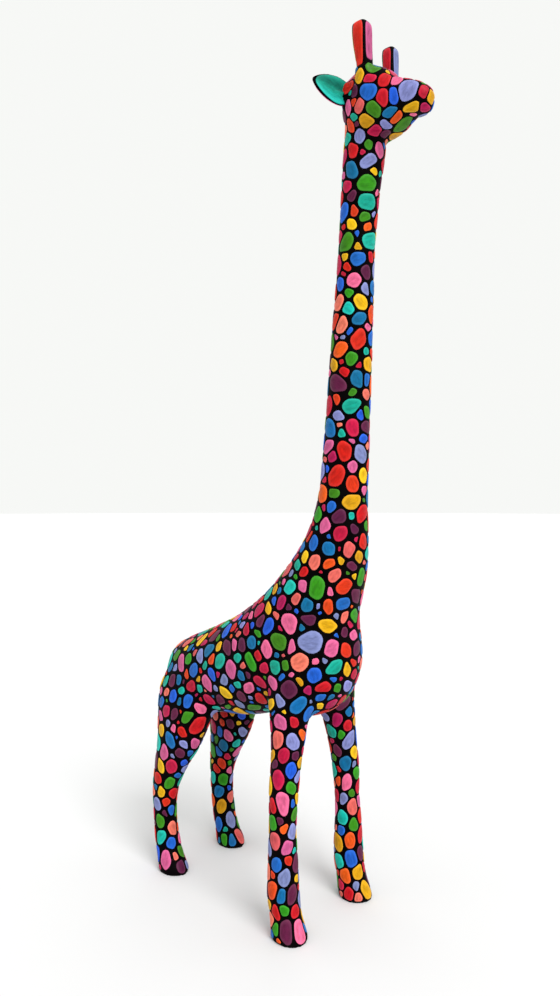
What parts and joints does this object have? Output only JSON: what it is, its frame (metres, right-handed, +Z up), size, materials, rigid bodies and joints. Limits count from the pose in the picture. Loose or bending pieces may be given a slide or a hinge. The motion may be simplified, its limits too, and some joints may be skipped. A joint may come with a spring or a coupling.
{
  "type": "carved giraffe statue",
  "caption": "Tall standing giraffe figure of glued carved wood, black with rounded painted spots in many colours, for a shelf or table.",
  "frame": {"origin": "on the surface that the statue stands on, under the middle of its outer box", "axes": "+X the way the giraffe faces, +Y its left, +Z up from the hooves to the horns"},
  "size_m": [0.2476, 0.0952, 0.6],
  "materials": {
    "ground_paint": "black acrylic paint on carved wood, satin",
    "dowel_wood": "bare turned wood",
    "paint_red": "red acrylic paint on wood, satin",
    "paint_orange": "orange-red acrylic paint on wood, satin",
    "paint_crimson": "crimson acrylic paint on wood, satin",
    "paint_pink": "pink acrylic paint on wood, satin",
    "paint_coral": "coral acrylic paint on wood, satin",
    "paint_yellow": "yellow ochre acrylic paint on wood, satin",
    "paint_green": "green acrylic paint on wood, satin",
    "paint_teal": "teal acrylic paint on wood, satin",
    "paint_peacock": "deep peacock blue acrylic paint on wood, satin",
    "paint_blue": "cornflower blue acrylic paint on wood, satin",
    "paint_lavender": "lavender acrylic paint on wood, satin",
    "paint_plum": "dark plum acrylic paint on wood, satin"
  },
  "bodies": {
    "root": {"torso": "ground_paint", "neck": "ground_paint", "head": "ground_paint", "leg_front_right": "ground_paint", "leg_front_left": "ground_paint", "leg_rear_right": "ground_paint", "leg_rear_left": "ground_paint", "horn_right": "paint_red", "horn_left": "paint_red", "ear_right": "paint_teal", "ear_left": "paint_teal", "tail": "ground_paint", "neck_dowel": "dowel_wood", "head_dowel": "dowel_wood", "leg_dowels": "dowel_wood"}
  },
  "joints": []
}
